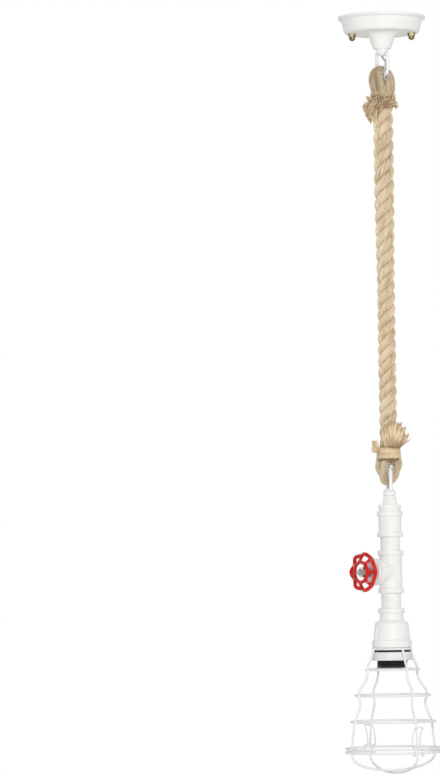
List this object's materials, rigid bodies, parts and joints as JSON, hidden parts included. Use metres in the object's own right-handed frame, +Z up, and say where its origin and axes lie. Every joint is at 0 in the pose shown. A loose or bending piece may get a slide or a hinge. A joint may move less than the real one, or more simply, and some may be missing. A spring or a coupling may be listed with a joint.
{
  "type": "pendant lamp",
  "caption": "Ceiling pendant lamp: round canopy, thick laid rope, body of white pipe fittings with a red valve wheel, and a bare lampholder in a white wire cage with a hinged guard.",
  "frame": {"origin": "centre of the ceiling crossbar's two screw slots, on the ceiling plane, on the canopy's axis", "axes": "+Z up out of the ceiling face, +X along the crossbar and to the right in the picture's view, -Y towards the viewer; the lamp hangs along -Z"},
  "size_m": [0.1318, 0.1318, 1.03],
  "materials": {
    "white_enamel": "warm white sprayed enamel, semi-gloss",
    "white_wire": "white dipped enamel on steel wire, semi-gloss",
    "red_enamel": "glossy red enamel on a cast wheel",
    "hemp_rope": "twisted natural hemp",
    "hemp_twine": "fine hemp twine",
    "zinc_steel": "zinc plated",
    "aged_brass": "dull brass",
    "black_bakelite": "moulded black",
    "porcelain": "glazed",
    "cable_grey": "grey insulation",
    "white_plastic": "moulded white, knurled"
  },
  "bodies": {
    "canopy": {"canopy_shell": "white_enamel", "mounting_crossbar": "zinc_steel", "canopy_studs": "zinc_steel", "cap_nuts": "aged_brass", "terminal_block": "white_plastic", "canopy_lead": "cable_grey", "hanger_nipple_top": "zinc_steel", "funnel_locknut": "zinc_steel", "upper_hanger": "white_enamel"},
    "upper_bail": {"upper_bail": "white_enamel"},
    "rope": {"upper_eye": "hemp_rope", "upper_leads": "cable_grey", "upper_binding": "hemp_twine", "upper_tuft": "hemp_rope", "rope": "hemp_rope", "core_cable": "cable_grey", "lower_tassel": "hemp_rope", "lower_binding": "hemp_twine", "lower_eye": "hemp_rope", "lower_leads": "cable_grey"},
    "lower_bail": {"lower_bail": "white_enamel"},
    "lamp": {"lower_hanger": "white_enamel", "hanger_nipple": "white_enamel", "hanger_locknut": "white_enamel", "hex_bushing": "white_enamel", "coupling": "white_enamel", "upper_nipple": "white_enamel", "tee": "white_enamel", "branch_plug": "white_enamel", "lower_nipple": "white_enamel", "reducer": "white_enamel", "lamp_lead": "cable_grey", "stem_bridge": "zinc_steel", "stem_nut": "zinc_steel", "holder_stem": "zinc_steel", "holder_cap": "black_bakelite", "holder_skirt": "black_bakelite", "contact_block": "porcelain", "centre_contact": "aged_brass", "screw_shell": "aged_brass", "shade_ring": "white_plastic", "cage_top_ring": "white_wire", "cage_ring_1": "white_wire", "cage_ring_2": "white_wire", "cage_ring_3": "white_wire", "cage_rim": "white_wire", "cage_ribs": "white_wire"},
    "handwheel": {"spindle": "zinc_steel", "handwheel": "red_enamel", "wheel_washer": "zinc_steel", "wheel_nut": "zinc_steel"},
    "guard": {"guard_ring": "white_wire", "guard_bows": "white_wire"},
    "front_clip": {"front_clip": "white_wire"},
    "rear_clip": {"rear_clip": "white_wire"}
  },
  "joints": [
    {"name": "upper_bail_swing", "type": "hinge", "parent": "canopy", "child": "upper_bail", "pos_m": [0, 0, -0.0503], "axis": [0.6428, -0.766, 0], "range_deg": [-40, 40], "deforming": ["upper_leads"]},
    {"name": "rope_swing", "type": "hinge", "parent": "upper_bail", "child": "rope", "pos_m": [0, 0, -0.0698], "axis": [0.766, 0.6428, 0], "range_deg": [-25, 25], "deforming": ["upper_leads"]},
    {"name": "lower_bail_swing", "type": "hinge", "parent": "rope", "child": "lower_bail", "pos_m": [0, 0, -0.6268], "axis": [0.9848, 0.1736, 0], "range_deg": [-25, 25], "deforming": ["lower_leads"]},
    {"name": "lamp_swing", "type": "hinge", "parent": "lower_bail", "child": "lamp", "pos_m": [0, 0, -0.6463], "axis": [0.1736, -0.9848, 0], "range_deg": [-40, 40], "deforming": ["lower_leads"]},
    {"name": "handwheel_turn", "type": "hinge", "parent": "lamp", "child": "handwheel", "pos_m": [0, 0, -0.757], "axis": [-0.766, -0.6428, 0], "continuous": true},
    {"name": "guard_swing", "type": "hinge", "parent": "lamp", "child": "guard", "pos_m": [-0.0322, 0.05577, -1.0004], "axis": [0.866, 0.5, 0], "range_deg": [0, 105]},
    {"name": "front_clip_swing", "type": "hinge", "parent": "guard", "child": "front_clip", "pos_m": [0.0322, -0.05577, -1.0004], "axis": [0.866, 0.5, 0], "range_deg": [0, 105]},
    {"name": "rear_clip_swing", "type": "hinge", "parent": "lamp", "child": "rear_clip", "pos_m": [-0.0322, 0.05577, -1.0004], "axis": [-0.866, -0.5, 0], "range_deg": [0, 90]}
  ]
}
